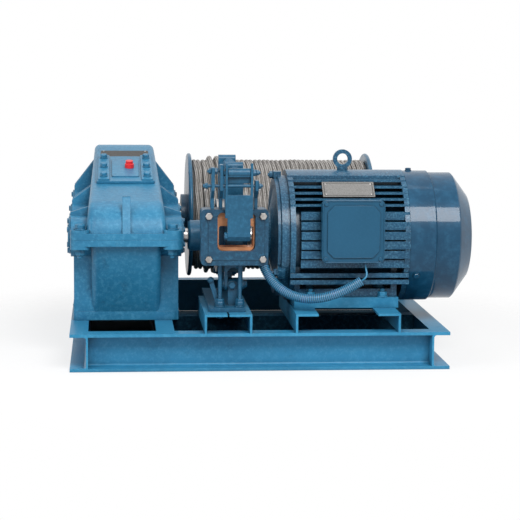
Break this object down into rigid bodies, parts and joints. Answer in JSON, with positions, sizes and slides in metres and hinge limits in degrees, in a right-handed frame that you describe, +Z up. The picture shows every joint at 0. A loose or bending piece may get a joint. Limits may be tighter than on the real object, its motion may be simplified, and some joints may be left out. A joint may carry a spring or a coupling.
{
  "type": "mooring winch",
  "caption": "Slow electric winch on a channel-steel base: parallel-shaft gearbox, fan-cooled motor, magnet block brake and a flanged drum wound with wire rope.",
  "frame": {"origin": "on the ground under the middle of the whole machine's box", "axes": "+X along the shafts from gearbox to motor fan, +Y from the motor side to the drum side, +Z up"},
  "size_m": [1.093, 1.028, 0.567],
  "materials": {
    "base_paint": "satin enamel on rolled steel",
    "gearbox_paint": "satin enamel on a casting",
    "motor_paint": "gloss enamel on a casting",
    "brake_paint": "satin enamel",
    "drum_paint": "satin enamel on steel plate",
    "hose_paint": "painted corrugated conduit",
    "wire_rope": "greased steel wire",
    "bare_steel": "turned steel",
    "coil_wrap": "varnished tape",
    "red_plug": "moulded plastic",
    "grey_plate": "bare grey plate",
    "steel_plate": "bare brushed plate"
  },
  "bodies": {
    "frame": {"left_end_beam": "base_paint", "right_end_beam": "base_paint", "front_beam": "base_paint", "rear_beam": "base_paint", "middle_cross_beam": "base_paint", "intermediate_beam": "base_paint", "gearbox_lower_case": "gearbox_paint", "gearbox_upper_case": "gearbox_paint", "gearbox_bearing_caps": "gearbox_paint", "inspection_cover": "gearbox_paint", "breather_plug": "red_plug", "gearbox_nameplate": "grey_plate", "brake_angle_left": "base_paint", "brake_angle_right": "base_paint", "brake_base": "brake_paint", "brake_pins": "brake_paint", "magnet_yoke": "brake_paint", "magnet_coil": "coil_wrap", "magnet_studs": "brake_paint", "armature_pin": "brake_paint", "armature_brackets": "brake_paint", "motor_angle_left": "base_paint", "motor_angle_right": "base_paint", "motor_bedplate": "base_paint", "motor_end_shield": "motor_paint", "motor_frame": "motor_paint", "motor_fan_cover": "motor_paint", "terminal_box": "motor_paint", "terminal_box_cover": "motor_paint", "lifting_eye": "motor_paint", "motor_nameplate": "steel_plate", "drum_bearing_pedestal": "base_paint", "drum_bearing_housing": "gearbox_paint", "conduit_hose": "hose_paint", "motor_lead": "hose_paint", "hose_gland": "brake_paint", "lead_gland": "motor_paint"},
    "drum": {"drum_barrel": "drum_paint", "drum_flange_left": "drum_paint", "drum_flange_right": "drum_paint", "drum_shaft": "bare_steel", "rope_winding": "wire_rope"},
    "high_speed_shaft": {"input_shaft": "bare_steel", "coupling_hub": "brake_paint", "brake_wheel": "bare_steel"},
    "front_arm": {"brake_front_arm": "brake_paint", "brake_front_shoe": "brake_paint", "brake_rod": "brake_paint", "brake_spring": "brake_paint"},
    "rear_arm": {"brake_rear_arm": "brake_paint", "brake_rear_shoe": "brake_paint"},
    "armature": {"magnet_armature": "brake_paint"}
  },
  "joints": [
    {"name": "drum_spin", "type": "hinge", "parent": "frame", "child": "drum", "pos_m": [0.08, 0.276, 0.33], "axis": [1, 0, 0], "continuous": true},
    {"name": "wheel_spin", "type": "hinge", "parent": "frame", "child": "high_speed_shaft", "pos_m": [-0.1025, -0.269, 0.33], "axis": [1, 0, 0], "continuous": true},
    {"name": "front_arm_swing", "type": "hinge", "parent": "frame", "child": "front_arm", "pos_m": [-0.1025, -0.405, 0.215], "axis": [1, 0, 0], "range_deg": [0, 0.7], "stiffness_Nm_per_rad": 500, "springref_deg": -1.72},
    {"name": "rear_arm_swing", "type": "hinge", "parent": "frame", "child": "rear_arm", "pos_m": [-0.1025, -0.133, 0.215], "axis": [1, 0, 0], "range_deg": [-0.7, 0]},
    {"name": "armature_swing", "type": "hinge", "parent": "frame", "child": "armature", "pos_m": [-0.096, -0.5025, 0.487], "axis": [1, 0, 0], "range_deg": [0, 4.5]}
  ],
  "couplings": [
    {"joint": "wheel_spin", "follows": "drum_spin", "ratio": 31.5},
    {"joint": "rear_arm_swing", "follows": "front_arm_swing", "ratio": -1},
    {"joint": "armature_swing", "follows": "front_arm_swing", "ratio": 6.4286}
  ]
}
